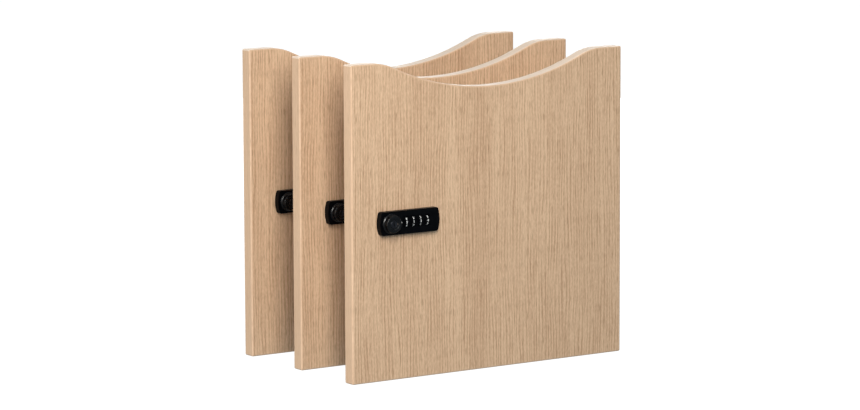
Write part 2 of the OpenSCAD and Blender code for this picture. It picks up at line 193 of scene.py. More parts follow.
class Shader:
    """One material and its nodes."""

    def __init__(self, name):
        self.material = bpy.data.materials.new(name)
        self.material.use_nodes = True
        self.nodes = self.material.node_tree.nodes
        self.surface = self.nodes["Principled BSDF"]

    def plug_in(self, socket, value):
        if isinstance(value, Value):
            self.material.node_tree.links.new(value.socket, socket)
        else:
            socket.default_value = value

    def node(self, kind, settings=None, inputs=(), output=0):
        """Adds a node: its settings first, then the values or links of its sockets."""
        made = self.nodes.new("ShaderNode" + kind)
        for key, value in (settings or {}).items():
            setattr(made, key, value)
        pairs = inputs.items() if isinstance(inputs, dict) else enumerate(inputs)
        for key, value in pairs:
            self.plug_in(made.inputs[key], value)
        return Value(self, made.outputs[output])

    def place(self):
        """The point's own x, y and z in the frame."""
        point = self.node("TexCoord", output="Object")
        split = self.node("SeparateXYZ", inputs=[point]).socket.node
        return [Value(self, split.outputs[axis]) for axis in "XYZ"]

    def noise(self, x, y, z=0.0, detail=2.0, rough=0.5):
        """Noise from 0 to 1, of size 1 along each of its three axes."""
        point = self.node("CombineXYZ", inputs=[x, y, z])
        inputs = {"Vector": point, "Scale": 1.0, "Detail": detail, "Roughness": rough}
        return self.node("TexNoise", inputs=inputs)

    def ramp(self, value, low, high):
        """0 below low, 1 above high and straight between."""
        return self.node("MapRange", inputs=[value, low, high, 0.0, 1.0])

    def mix(self, share, first, second):
        return self.node("Mix", {"data_type": "RGBA"}, {0: share, 6: first, 7: second}, output=2)

    def bump(self, height, depth):
        """Relief of a height from 0 to 1, at its real depth."""
        return self.node("Bump", inputs={"Strength": 1.0, "Distance": depth, "Height": height})

    def finish(self, **sockets):
        """Sets the surface: Base_Color=..., Roughness=... and so on."""
        for key, value in sockets.items():
            self.plug_in(self.surface.inputs[key.replace("_", " ")], value)
        return self.material


def srgb(red, green, blue):
    """A colour as shaders need it, from the 0 to 255 of a paint chart."""
    parts = [channel / 255 for channel in (red, green, blue)]
    linear = [((p + 0.055) / 1.055) ** 2.4 if p > 0.04045 else p / 12.92 for p in parts]
    return (*linear, 1.0)


# %% [markdown]
# ## Oak decor
#
# The faces are melamine sheets printed with straight-grained oak. A real print has layers, from
# wide to fine: soft bands as wide as a hand, dark fibre lines about 4 mm apart that wander and
# break off, and below them fine streaks, flecks and short pores. A printed tile would repeat, so
# noises make the layers, each stretched along the grain. Noise alone clumps, where fibre lines
# keep their distance, so the lines are a sine wave whose phase a noise shifts. All layers read
# the distance along the board's width, so the grain goes on round the edges.

# %% Oak layers
# Each pair is how many of a layer's marks fit in one metre, across the grain and along it.
SWAY = (7, 3)
SHIVER = (60, 14)
BANDS = (22, 0.8)
STREAKS = (900, 9)
FLECKS = (1000, 220)
PORES = (1040, 60)
LINE_DRIFT = (60, 8)
LINE_BREAKS = (110, 14)

SWAY_REACH = 0.014
SHIVER_REACH = 0.0018
LINE_RATE = 1480  # radians per metre, which is one line every 4.2 mm
LINE_SHIFT = 14  # radians
GRAIN_DEPTH = 0.06 * MM

# %% Oak


def oak(name, light, dark, pore, contrast):
    """Printed oak. Contrast is how strongly its grain shows."""
    shader = Shader(name)
    x, y, z = shader.place()

    def layer(across, per_metre, offset=0.0, detail=1.0):
        """Noise stretched along the grain. The offset keeps two layers from being alike."""
        return shader.noise(across * per_metre[0], z * per_metre[1], offset, detail)

    across = x + y
    sway = layer(across, SWAY) - 0.5
    shiver = layer(across, SHIVER) - 0.5
    across = across + sway * SWAY_REACH + shiver * SHIVER_REACH
    bands = layer(across, BANDS, 3.1, detail=2.0)
    streaks = layer(across, STREAKS, 7.7)
    flecks = layer(across, FLECKS, 1.3)
    phase = across * LINE_RATE + layer(across, LINE_DRIFT, 4.4) * LINE_SHIFT
    stripes = shader.node("Math", {"operation": "SINE"}, [phase])
    unbroken = shader.ramp(layer(across, LINE_BREAKS, 2.3, detail=2.0), 0.25, 0.65)
    lines = shader.ramp(stripes, 0.0, 1.0) * unbroken
    pores = shader.ramp(layer(across, PORES, 5.9, detail=0.0), 0.60, 0.80)
    tone = (bands - 0.5) * 1.1 + (streaks - 0.5) * 1.5 + (flecks - 0.5) * 1.5 + (lines - 0.25)
    tone = shader.ramp(tone * contrast, -0.6, 0.75)
    colour = shader.mix(tone, light, dark)
    colour = shader.mix(pores * (0.5 * contrast), colour, pore)
    return shader.finish(
        Base_Color=colour,
        Roughness=0.48 + pores * 0.12 + flecks * 0.08,
        Normal=shader.bump(flecks * 0.3 - pores - lines * 0.4, GRAIN_DEPTH),
    )


oak_decor = oak(
    "oak_decor", srgb(229, 194, 159), srgb(189, 150, 117), srgb(150, 112, 80), contrast=1.0
)
oak_edge = oak(
    "oak_edge_strip", srgb(229, 194, 161), srgb(207, 170, 137), srgb(165, 130, 98), contrast=0.6
)
print("oak:", len(oak_decor.node_tree.nodes), "nodes")

# %% [markdown]
# ## Pale edging and chipboard
#
# The wavy top edge is closed with a paler strip: cream plastic with a faint print that runs along
# it. The board under the decor is pressed chips, which is flakes of wood in many tones. Voronoi
# cells are those flakes, each with a tone of its own. Plain noise would only look like fog.

# %% Cream strip and chips


def cream_strip():
    shader = Shader("cream_edge_strip")
    x, y, z = shader.place()
    print_lines = shader.noise(x * 24, y * 420, z * 24, detail=2.0)
    clouds = shader.noise(x * 45, y * 30, z * 45, detail=2.0)
    tone = shader.ramp(print_lines * 0.7 + clouds * 0.3, 0.3, 0.7)
    colour = shader.mix(tone, srgb(243, 221, 200), srgb(228, 203, 181))
    return shader.finish(
        Base_Color=colour,
        Roughness=0.52 + clouds * 0.14,
        Normal=shader.bump(print_lines, 0.04 * MM),
    )


def pressed_chips():
    shader = Shader("pressed_chips")
    x, y, z = shader.place()
    point = shader.node("CombineXYZ", inputs=[x * 420, y * 1100, z * 260])
    flake = shader.node("TexVoronoi", {}, {"Vector": point, "Scale": 1.0}, output="Color")
    tone = shader.node("RGBToBW", inputs=[flake])
    fibre = shader.noise(x * 900, y * 900, z * 300)
    share = shader.ramp(tone + fibre * 0.3, 0.3, 1.0)
    return shader.finish(
        Base_Color=shader.mix(share, srgb(205, 172, 125), srgb(148, 112, 72)),
        Roughness=0.82,
        Normal=shader.bump(tone, 0.3 * MM),
    )


cream_edge = cream_strip()
chipboard = pressed_chips()
print("cream strip:", len(cream_edge.node_tree.nodes), "nodes")
print("chips:", len(chipboard.node_tree.nodes), "nodes")

# %% [markdown]
# ## Black mouldings
#
# The lock's cover, knob and dials are black nylon. Black is never quite black, and a mould leaves
# its own skin on each piece: the cover is spark-eroded, which is a fine even grain, and the knob is
# smoother. A fine bump gives that skin, and a little variation in the roughness breaks up the
# highlights as handling does. The white digits and the dots are paint, which takes the same recipe.

# %% Mouldings
SMEARS = 130  # rubbed patches in one metre


def moulding(name, colour, worn, grain_size, grain_depth, roughness, gloss=0.05):
    """Nylon or paint. Worn is its tone where hands have rubbed it."""
    shader = Shader(name)
    x, y, z = shader.place()
    grains = 1 / grain_size
    grain = shader.noise(x * grains, y * grains, z * grains, detail=2.0, rough=0.6)
    handling = shader.noise(x * SMEARS, y * SMEARS, z * SMEARS, detail=3.0)
    smear = shader.ramp(handling, 0.42, 0.66)
    shader.surface.inputs["Specular IOR Level"].default_value = gloss
    return shader.finish(
        Base_Color=shader.mix(smear * 0.6 + grain * 0.4, colour, worn),
        Roughness=roughness + smear * 0.12 + grain * 0.06,
        Normal=shader.bump(grain, grain_depth),
    )


cover_black = moulding(
    "cover_black", srgb(4, 4, 6), srgb(9, 10, 13), 0.22 * MM, 0.02 * MM, roughness=0.30
)
knob_black = moulding(
    "knob_black", srgb(4, 4, 6), srgb(9, 10, 13), 0.30 * MM, 0.01 * MM, roughness=0.20, gloss=0.35
)
dial_black = moulding(
    "dial_black", srgb(4, 4, 6), srgb(9, 10, 12), 0.20 * MM, 0.02 * MM, roughness=0.32
)
frame_grey = moulding(
    "chassis_grey", srgb(38, 39, 42), srgb(54, 55, 58), 0.35 * MM, 0.03 * MM, roughness=0.52
)
dot_bronze = moulding(
    "dot_bronze", srgb(150, 132, 118), srgb(112, 97, 86), 0.15 * MM, 0.01 * MM, roughness=0.40,
    gloss=0.4,
)
digit_white = moulding(
    "digit_white", srgb(247, 247, 245), srgb(226, 226, 222), 0.15 * MM, 0.01 * MM, roughness=0.45,
    gloss=0.4,
)
print("mouldings: cover, knob, dial and chassis, and the paint of the digits and dots")

# %% [markdown]
# ## Metals
#
# Zinc plating is a soft patchy grey, nickel is smooth with faint drawing lines, and spring steel
# shows the marks of rolling. All are the same recipe: a metal with a colour that wanders a little
# between two tones, and fine marks in the bump and the roughness, which on nickel and steel are
# drawn out along one direction.

# %% Metals


def metal(name, light, dark, roughness, drawn, patch_size):
    """Drawn is how many fine marks fit in one metre along x, y and z."""
    shader = Shader(name)
    x, y, z = shader.place()
    patch = 1 / patch_size
    patches = shader.noise(x * patch, y * patch, z * patch, detail=3.0)
    lines = shader.noise(x * drawn[0], y * drawn[1], z * drawn[2], detail=3.0, rough=0.7)
    tone = shader.ramp(patches * 0.7 + lines * 0.3, 0.3, 0.7)
    return shader.finish(
        Base_Color=shader.mix(tone, light, dark),
        Metallic=1.0,
        Roughness=roughness + lines * 0.14 + patches * 0.1,
        Normal=shader.bump(lines, 0.015 * MM),
    )


zinc = metal(
    "zinc_plate", srgb(205, 207, 212), srgb(176, 180, 188), 0.30, (900, 900, 900), 4 * MM
)
nickel = metal(
    "nickel_plate", srgb(214, 211, 204), srgb(192, 189, 182), 0.18, (2500, 300, 2500), 10 * MM
)
spring_steel = metal(
    "spring_steel", srgb(190, 192, 196), srgb(160, 163, 169), 0.28, (400, 3000, 3000), 6 * MM
)
plug_metal = metal(
    "dark_nickel", srgb(74, 75, 80), srgb(52, 53, 58), 0.26, (3000, 3000, 300), 3 * MM
)
print("metals: zinc, nickel, spring steel and the plug's dark nickel")

# %% [markdown]
# ## Workshop helpers
#
# Shaping by hand means the same few moves again and again: open a piece, pick edges or faces by
# where they lie, work on them, close it. Small helpers for these moves keep each piece's own cell
# about that piece.

# %% Open, pick and close
WELD = 0.002 * MM


def select_only(*pieces):
    """Selects these pieces and nothing else. The first one becomes active."""
    bpy.ops.object.select_all(action="DESELECT")
    for piece in pieces:
        piece.select_set(True)
    bpy.context.view_layer.objects.active = pieces[0]


def open_piece(piece):
    """Edit mode on one piece, with nothing picked."""
    select_only(piece)
    bpy.ops.object.mode_set(mode="EDIT")
    bpy.ops.mesh.select_all(action="DESELECT")


def pick(kind, wanted):
    """Picks the edges or faces of the open piece that are wanted, and says how many."""
    mesh = bpy.context.edit_object.data
    bpy.ops.mesh.select_mode(type={"edges": "EDGE", "faces": "FACE"}[kind])
    bpy.ops.mesh.select_all(action="DESELECT")
    shape = bmesh.from_edit_mesh(mesh)
    shape.normal_update()
    picked = 0
    for element in getattr(shape, kind):
        if wanted(element):
            element.select_set(True)
            picked += 1
    shape.select_flush_mode()
    bmesh.update_edit_mesh(mesh)
    return picked


def is_front(face):
    """A face that looks towards -Y, as a door's front does."""
    return face.normal.y < -0.9


def round_edges(wanted, radius, steps):
    """Rounds the wanted edges of the open piece, and says how many."""
    picked = pick("edges", wanted)
    bpy.ops.mesh.bevel(offset=radius, segments=steps, affect="EDGES", clamp_overlap=True)
    return picked


def turn_faces_out():
    """Makes every face of the open piece look outwards."""
    bpy.ops.mesh.select_all(action="SELECT")
    bpy.ops.mesh.normals_make_consistent(inside=False)


def close_piece():
    """Back to object mode, with the piece's place moved into its mesh."""
    bpy.ops.object.mode_set(mode="OBJECT")
    bpy.ops.object.transform_apply(location=True, rotation=True, scale=True)
    return bpy.context.object


# %% Start a shape


def block(low, high):
    """A box between two corners, open for editing."""
    low = Vector(low)
    high = Vector(high)
    bpy.ops.object.select_all(action="DESELECT")
    bpy.ops.mesh.primitive_cube_add(size=1, location=(low + high) / 2, scale=high - low)
    bpy.ops.object.transform_apply(location=True, rotation=True, scale=True)
    piece = bpy.context.object
    open_piece(piece)
    return piece


def turned(axis_point, axis, outward, section, steps=96):
    """A lathe: draws a section of (distance along the axis, radius) and spins it once round."""
    start = Vector(axis_point)
    points = [start + Vector(axis) * along + Vector(outward) * radius for along, radius in section]
    bpy.ops.object.select_all(action="DESELECT")
    bpy.ops.mesh.primitive_plane_add(size=MM, location=points[0])
    bpy.ops.object.transform_apply(location=True, rotation=True, scale=True)
    bpy.ops.object.mode_set(mode="EDIT")
    bpy.ops.mesh.select_mode(type="VERT")
    bpy.ops.mesh.select_all(action="SELECT")
    bpy.ops.mesh.merge(type="CENTER")
    for here, there in zip(points, points[1:]):
        bpy.ops.mesh.extrude_region_move(TRANSFORM_OT_translate={"value": there - here})
    bpy.ops.mesh.select_all(action="SELECT")
    bpy.ops.mesh.spin(steps=steps, angle=2 * math.pi, center=axis_point, axis=axis)
    bpy.ops.mesh.select_all(action="SELECT")
    bpy.ops.mesh.remove_doubles(threshold=WELD)
    turn_faces_out()
    return close_piece()


# %% Cut, join, copy and smooth


def finish_modifier(piece, kind, **settings):
    """Adds a modifier to a piece and applies it."""
    select_only(piece)
    modifier = piece.modifiers.new(kind.title(), kind)
    for key, value in settings.items():
        setattr(modifier, key, value)
    bpy.ops.object.modifier_apply(modifier=modifier.name)


def cut(piece, cutter):
    """Takes a cutter's shape out of a piece, and throws the cutter away."""
    finish_modifier(piece, "BOOLEAN", operation="DIFFERENCE", object=cutter, solver="EXACT")
    bpy.data.objects.remove(cutter)


def joined(pieces):
    """Several pieces as one."""
    select_only(*pieces)
    bpy.ops.object.join()
    return bpy.context.object


def copy_of(piece, shift=(0, 0, 0), turn=None):
    """A copy with a mesh of its own, turned and then shifted in that mesh."""
    copy = piece.copy()
    copy.data = piece.data.copy()
    bpy.context.scene.collection.objects.link(copy)
    copy.data.transform(Matrix.Translation(shift) @ (turn or Matrix.Identity(4)))
    return copy


def smooth(piece, degrees):
    """Smooth shading up to an angle. Large flat faces keep their own normals, so they stay flat."""
    select_only(piece)
    bpy.ops.object.shade_smooth_by_angle(angle=math.radians(degrees))
    finish_modifier(piece, "WEIGHTED_NORMAL", keep_sharp=True, weight=100)


def paint(piece, *materials):
    piece.data.materials.clear()
    for material in materials:
        piece.data.materials.append(material)


# %% One piece for every door


def give_to_doors(first, name, body, stands_for=()):
    """Puts a piece modelled on door 1 on every door. A # in a name is the door's number."""
    shift = Vector((0, DOOR_PITCH, 0))
    pieces = [first] + [copy_of(first, shift * (door - 1)) for door in DOORS[1:]]
    for door, piece in zip(DOORS, pieces):
        piece.name = piece.data.name = name.replace("#", str(door))
        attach(piece, body.replace("#", str(door)))
        if stands_for:
            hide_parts(*[node.replace("#", str(door)) for node in stands_for])
    print(f"{name}: {len(first.data.polygons)} faces on each of {len(DOORS)} doors")


# %% [markdown]
# ## Welded copies of the frame's parts
#
# A part that only needs its sharp edges broken isn't modelled again. Its mesh arrives as loose
# triangles, so a copy is welded, its flat faces are dissolved to whole ones, and then it bevels
# like anything drawn by hand. The frame's own mesh stays untouched.

# %% Copy and soften
FLAT_ENOUGH = math.radians(0.05)
SHARP_ANGLE = 35


def welded_copy(node):
    source = frame["nodes"][node]
    copy = source.copy()
    copy.data = source.data.copy()
    bpy.context.scene.collection.objects.link(copy)
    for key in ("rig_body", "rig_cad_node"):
        del copy[key]
    copy.parent = None
    copy.hide_render = copy.hide_viewport = False
    open_piece(copy)
    bpy.ops.mesh.select_all(action="SELECT")
    bpy.ops.mesh.customdata_custom_splitnormals_clear()
    bpy.ops.mesh.remove_doubles(threshold=WELD)
    bpy.ops.mesh.dissolve_limited(angle_limit=FLAT_ENOUGH)
    bpy.ops.object.mode_set(mode="OBJECT")
    return copy


def soften(piece, width):
    """Breaks every sharp edge."""
    finish_modifier(
        piece, "BEVEL", width=width, segments=2, limit_method="ANGLE",
        angle_limit=math.radians(SHARP_ANGLE), use_clamp_overlap=True,
    )
    smooth(piece, SHARP_ANGLE)


# %% [markdown]
# ## Side and foot edging
#
# Both upright edges and the foot are closed with 2 mm strips. After gluing, a trimmer rounds
# their long edges, and that soft edge is what the eye reads as "furniture". Three boxes at the
# strips' places are enough, if the right edges are rounded: the outer edges of the two uprights,
# round their feet as well, and the long lower edges of the strip under the board.

# %% Edging strips
EDGE_ROUND = 0.9 * EDGING_T
EDGE_STEPS = 5
NEAR = 0.01 * MM


def foot_strip():
    """The strip under the board, rounded along both of its long lower edges."""
    block((face_low.x, DOOR_FRONT, edging_low.z), (face_high.x, DOOR_BACK, face_low.z))

    def is_long_lower(edge):
        here, there = [vert.co for vert in edge.verts]
        return abs(here.x - there.x) > EDGING_T and max(here.z, there.z) < edging_low.z + NEAR

    round_edges(is_long_lower, EDGE_ROUND, EDGE_STEPS)
    return close_piece()


def upright_strip(side):
    """side is -1 for the free edge and 1 for the hinge edge."""
    outer_x, inner_x = (edging_low.x, face_low.x) if side < 0 else (edging_high.x, face_high.x)
    low = (min(outer_x, inner_x), DOOR_FRONT, edging_low.z)
    high = (max(outer_x, inner_x), DOOR_BACK, edging_high.z)
    block(low, high)

    def is_rounded(edge):
        ends = [vert.co for vert in edge.verts]
        upright = all(abs(end.x - outer_x) < NEAR for end in ends)
        at_foot = all(end.z < edging_low.z + NEAR for end in ends)
        at_top = all(end.z > edging_high.z - NEAR for end in ends)
        inner = all(abs(end.x - inner_x) < NEAR for end in ends)
        return (upright or at_foot) and not at_top and not inner

    round_edges(is_rounded, EDGE_ROUND, EDGE_STEPS)
    return close_piece()


edging = joined([upright_strip(-1), upright_strip(1), foot_strip()])
smooth(edging, 40)
paint(edging, oak_edge)
give_to_doors(edging, "door_#_edge_strips", "doors", ["door_#_side_edging"])

# %% [markdown]
# ## The wavy top strip
#
# This strip follows the shoulders and the dip, so it can't be a box. The frame already holds the
# exact curve, so a welded copy is taken, and the edges of its upper side are rounded like the
# others. Its ends are rounded too, to run on from the upright strips below them. Only the upper
# side is cream: the face that is trimmed flush with the door's front takes the oak tone.

# %% Top strip
top_strip = welded_copy("door_1_top_edging")
open_piece(top_strip)


def is_upper_edge(edge):
    faces = edge.link_faces
    if len(faces) != 2:
        return False
    upper = [face for face in faces if face.normal.z > 0.3]
    flat = [face for face in faces if abs(face.normal.y) > 0.9]
    end = [face for face in faces if abs(face.normal.x) > 0.9]
    return (len(upper) == 1 and len(flat) + len(end) == 1) or (len(end) == 1 and len(flat) == 1)


top_edges = round_edges(is_upper_edge, EDGE_ROUND, EDGE_STEPS)
top_strip = close_piece()
smooth(top_strip, 40)
paint(top_strip, cream_edge, oak_edge)
for face in top_strip.data.polygons:
    if face.normal.y < -0.5:
        face.material_index = 1
give_to_doors(top_strip, "door_#_top_strip", "doors", ["door_#_top_edging"])
print("rounded", top_edges, "edges of the top strip")

# %% [markdown]
# ## The lock's cover
#
# The cover is a shallow moulded box, 8 mm deep, with bowed ends, four windows for the dials and a
# hole for the knob. It starts as a block. Cuts across it give the ends enough points to bow, the
# four corners and the face's rim are rounded as a mould needs, and the end away from the knob
# slopes down. Cutters then open the inside, the windows with their chamfers, and the hole.

# %% Cover body
END_BOW = 2.75 * MM
CORNER_R = 2.2 * MM
RIM_R = 1.3 * MM
SLOPE_L = 9 * MM
SLOPE_D = 1.9 * MM
WALL = 1.5 * MM
OVERRUN = 2 * MM
half_l = (housing_high.x - housing_low.x) / 2
half_h = (housing_high.z - housing_low.z) / 2
BOW_R = (half_h ** 2 + END_BOW ** 2) / (2 * END_BOW)
BOW_CUTS = 14
slope_x = housing_high.x - SLOPE_L


def bowed_block(inset, back):
    """The cover's form, open for editing: inset all round and at the face, and ending at back."""
    low = housing_low + Vector((inset, inset, inset))
    high = Vector((housing_high.x - inset, back, housing_high.z - inset))
    piece = block(low, high)
    for step in range(1, BOW_CUTS):
        bpy.ops.mesh.select_all(action="SELECT")
        level = low + (high - low) * step / BOW_CUTS
        bpy.ops.mesh.bisect(plane_co=level, plane_no=(0, 0, 1))
    bpy.ops.mesh.select_all(action="SELECT")
    bpy.ops.mesh.bisect(plane_co=(slope_x, 0, 0), plane_no=(1, 0, 0))
    radius = BOW_R - inset
    shape = bmesh.from_edit_mesh(piece.data)
    for vert in shape.verts:
        off_middle = vert.co - LOCK_MIDDLE
        if abs(off_middle.x) > half_l - inset - NEAR:
            bow = radius - math.sqrt(radius ** 2 - off_middle.z ** 2)
            vert.co.x -= math.copysign(bow, off_middle.x)
        if vert.co.y < low.y + NEAR and vert.co.x > slope_x + NEAR:
            vert.co.y += SLOPE_D * (vert.co.x - slope_x) / SLOPE_L
    bmesh.update_edit_mesh(piece.data)


def is_corner(edge):
    ends = [vert.co for vert in edge.verts]
    along_depth = abs(ends[0].y - ends[1].y) > 2 * MM
    outer = all(abs(end.z - LOCK_MIDDLE.z) > half_h - NEAR for end in ends)
    at_end = all(abs(end.x - LOCK_MIDDLE.x) > half_l - 2 * END_BOW for end in ends)
    return along_depth and outer and at_end


def is_rim(edge):
    sides = [face.normal.y for face in edge.link_faces]
    return len(sides) == 2 and min(sides) < -0.7 and abs(max(sides)) < 0.3


bowed_block(0, DOOR_FRONT)
corner_edges = round_edges(is_corner, CORNER_R, 6)
rim_edges = round_edges(is_rim, RIM_R, 4)
cover = close_piece()
print("cover: rounded", corner_edges, "corners and", rim_edges, "edges of its rim")

# %% Cover openings
CHAMFER = 0.45 * MM
WINDOW_W = DIAL_W + 0.8 * MM
dial_depth = DIAL_R - (HOUSING_FACE - DIAL_LOW.y) - WALL
WINDOW_H = 2 * (math.sqrt(DIAL_R ** 2 - dial_depth ** 2) + 0.4 * MM)
HOLE_R = 4.4 * MM
HOLE_L = 9 * MM


def window_cutter(centre_x):
    """A block for the opening, whose front end widens at 45 degrees to chamfer the rim."""
    half = Vector((WINDOW_W / 2, 0, WINDOW_H / 2))
    centre = Vector((centre_x, 0, LOCK_MIDDLE.z))
    low = centre - half + Vector((0, HOUSING_FACE + CHAMFER, 0))
    high = centre + half + Vector((0, DOOR_FRONT - OVERRUN, 0))
    block(low, high)
    pick("faces", is_front)
    bpy.ops.mesh.extrude_region_move(TRANSFORM_OT_translate={"value": (0, -CHAMFER, 0)})
    wider = (1 + 2 * CHAMFER / WINDOW_W, 1, 1 + 2 * CHAMFER / WINDOW_H)
    bpy.ops.transform.resize(value=wider, center_override=centre + Vector((0, HOUSING_FACE, 0)))
    bpy.ops.mesh.extrude_region_move(TRANSFORM_OT_translate={"value": (0, -OVERRUN, 0)})
    turn_faces_out()
    return close_piece()


bowed_block(WALL, DOOR_FRONT + OVERRUN)
cut(cover, close_piece())
for dial_middle in DIAL_MIDDLES:
    cut(cover, window_cutter(dial_middle.x))
hole = [
    (-OVERRUN, 0),
    (-OVERRUN, HOLE_R + CHAMFER),
    (0, HOLE_R + CHAMFER),
    (CHAMFER, HOLE_R),
    (HOLE_L, HOLE_R),
    (HOLE_L, 0),
]
hole_start = (KNOB_AXIS.x, HOUSING_FACE, KNOB_AXIS.z)
cut(cover, turned(hole_start, (0, 1, 0), (1, 0, 0), hole, steps=64))
smooth(cover, 28)
paint(cover, cover_black)
give_to_doors(cover, "lock_#_cover", "doors", ["lock_#_housing"])

# %% [markdown]
# ## The knob
#
# The knob is a turned shape: a base ring that catches the light, a slightly waisted wall, a rim
# and a dished face with the key plug in its middle. On a lathe that is one section spun round the
# axis, which is also the best way here. Its spindle has a square and notches that no lathe makes,
# so that is a welded copy of the frame's part with its head cut off.

# %% Knob
KNOB_GAP = 0.15 * MM
KNOB_BASE_Y = HOUSING_FACE - KNOB_GAP
KNOB_H = KNOB_BASE_Y - knob_low.y
KNOB_R = (knob_high.z - knob_low.z) / 2
FOOT_ROUND = 0.3 * MM
RING_H = 1.5 * MM
RING_ROUND = 0.6 * MM
RIM_ROUND = 0.9 * MM
DISH_ROUND = 0.6 * MM
DISH_D = 1.0 * MM
PLUG_R = (plug_high.z - plug_low.z) / 2
PLUG_HOLE_R = PLUG_R + 0.05 * MM
PLUG_HOLE_D = 7 * MM


def arc(along, radius, round_r, start, end, steps=5):
    """Points of a fillet in a turned section, between two angles in degrees."""
    points = []
    for step in range(steps + 1):
        angle = math.radians(start + (end - start) * step / steps)
        points.append((along + round_r * math.sin(angle), radius + round_r * math.cos(angle)))
    return points


knob_section = [
    (0, 0),
    (0, KNOB_R - FOOT_ROUND),
    *arc(FOOT_ROUND, KNOB_R - FOOT_ROUND, FOOT_ROUND, -90, 0, 2),
    *arc(RING_H, KNOB_R - RING_ROUND, RING_ROUND, 0, 70),
    (2.6 * MM, KNOB_R - 1.25 * MM),
    (5.5 * MM, KNOB_R - 1.6 * MM),
    *arc(KNOB_H - RIM_ROUND, KNOB_R - 2.2 * MM, RIM_ROUND, 5, 90, 7),
    *arc(KNOB_H - DISH_ROUND, PLUG_R + 2.9 * MM, DISH_ROUND, 90, 175),
    (KNOB_H - DISH_D, PLUG_R + 1.9 * MM),
    (KNOB_H - DISH_D, PLUG_HOLE_R + 0.2 * MM),
    (KNOB_H - 1.2 * MM, PLUG_HOLE_R),
    (KNOB_H - PLUG_HOLE_D, PLUG_HOLE_R),
    (KNOB_H - PLUG_HOLE_D, 0),
]
knob_base = (KNOB_AXIS.x, KNOB_BASE_Y, KNOB_AXIS.z)
knob_head = turned(knob_base, (0, -1, 0), (1, 0, 0), knob_section, steps=128)

spindle = welded_copy("lock_1_knob")
open_piece(spindle)
bpy.ops.mesh.select_all(action="SELECT")
spindle_end = (0, KNOB_BASE_Y - 0.5 * MM, 0)
bpy.ops.mesh.bisect(plane_co=spindle_end, plane_no=(0, -1, 0), use_fill=True, clear_outer=True)
spindle = close_piece()

knob = joined([knob_head, spindle])
smooth(knob, 28)
paint(knob, knob_black)
give_to_doors(knob, "lock_#_turn_knob", "knob_#", ["lock_#_knob"])

# %% [markdown]
# ## Key plug and dots
#
# A master key opens the lock through the plug in the knob. The plug is turned with a chamfered
# rim, and the keyway is cut into it with a chamfer of its own. Two painted dots line up when the
# knob is shut, one on the knob and one on the cover. They are low domes and not flat discs,
# because paint stands proud where it dries.

# %% Key plug
PLUG_L = plug_high.y - plug_low.y
KEYWAY_W = 1.3 * MM
KEYWAY_H = 5.6 * MM
KEYWAY_D = 4 * MM
KEYWAY_CHAMFER = 0.3 * MM
KEYWAY_FLARE = (1.5, 1, 1.1)
plug_section = [
    (0, 0),
    (0, PLUG_R - 0.35 * MM),
    (0.15 * MM, PLUG_R - 0.1 * MM),
    (0.45 * MM, PLUG_R),
    (PLUG_L, PLUG_R),
    (PLUG_L, 0),
]
plug_face = Vector((KNOB_AXIS.x, plug_low.y, KNOB_AXIS.z))
plug = turned(plug_face, (0, 1, 0), (1, 0, 0), plug_section)

keyway_low = plug_face + Vector((-KEYWAY_W / 2, KEYWAY_CHAMFER, -KEYWAY_H / 2))
block(keyway_low, keyway_low + Vector((KEYWAY_W, KEYWAY_D, KEYWAY_H)))
pick("faces", is_front)
bpy.ops.mesh.extrude_region_move(TRANSFORM_OT_translate={"value": (0, -KEYWAY_CHAMFER, 0)})
bpy.ops.transform.resize(value=KEYWAY_FLARE, center_override=plug_face)
bpy.ops.mesh.extrude_region_move(TRANSFORM_OT_translate={"value": (0, -MM, 0)})
turn_faces_out()
cut(plug, close_piece())
smooth(plug, 30)
paint(plug, plug_metal)
give_to_doors(plug, "lock_#_master_plug", "key_plug_#", ["lock_#_key_plug"])

# %% Alignment dots
DOT_SUNK = 0.05 * MM
DOT_PROUD = 0.08 * MM


def painted_dot(centre, radius, finish):
    """A low dome of paint that faces forwards, its foot sunk into the face behind it."""
    dome = [
        (DOT_SUNK, 0),
        (DOT_SUNK, radius),
        (0, radius),
        (-0.05 * MM, radius * 0.75),
        (-DOT_PROUD, 0),
    ]
    dot = turned(centre, (0, 1, 0), (1, 0, 0), dome, steps=32)
    smooth(dot, 60)
    paint(dot, finish)
    return dot


COVER_DOT_X = KNOB_AXIS.x + 16.2 * MM
COVER_DOT_R = 0.6 * MM
cover_dot_place = (COVER_DOT_X, HOUSING_FACE, KNOB_AXIS.z)
cover_dot = painted_dot(cover_dot_place, COVER_DOT_R, digit_white)
give_to_doors(cover_dot, "lock_#_cover_dot", "doors")

KNOB_DOT_X = KNOB_AXIS.x + (PLUG_R + 0.95 * MM)
KNOB_DOT_R = 0.5 * MM
knob_dot_place = (KNOB_DOT_X, knob_low.y + DISH_D, KNOB_AXIS.z)
knob_dot = painted_dot(knob_dot_place, KNOB_DOT_R, dot_bronze)
give_to_doors(knob_dot, "lock_#_knob_dot", "knob_#")

# %% [markdown]
# ## Number dials
#
# Each dial is a wheel with ten digits round its rim and a shallow groove between neighbours for
# the fingertip. The wheel is turned, and its rim points are then sunk at each groove. The digits
# are the built-in typeface as thin solids. A flat digit would stick out of a round wheel at its
# middle and sink in at its ends, so each is sliced into bands and wrapped round the rim.

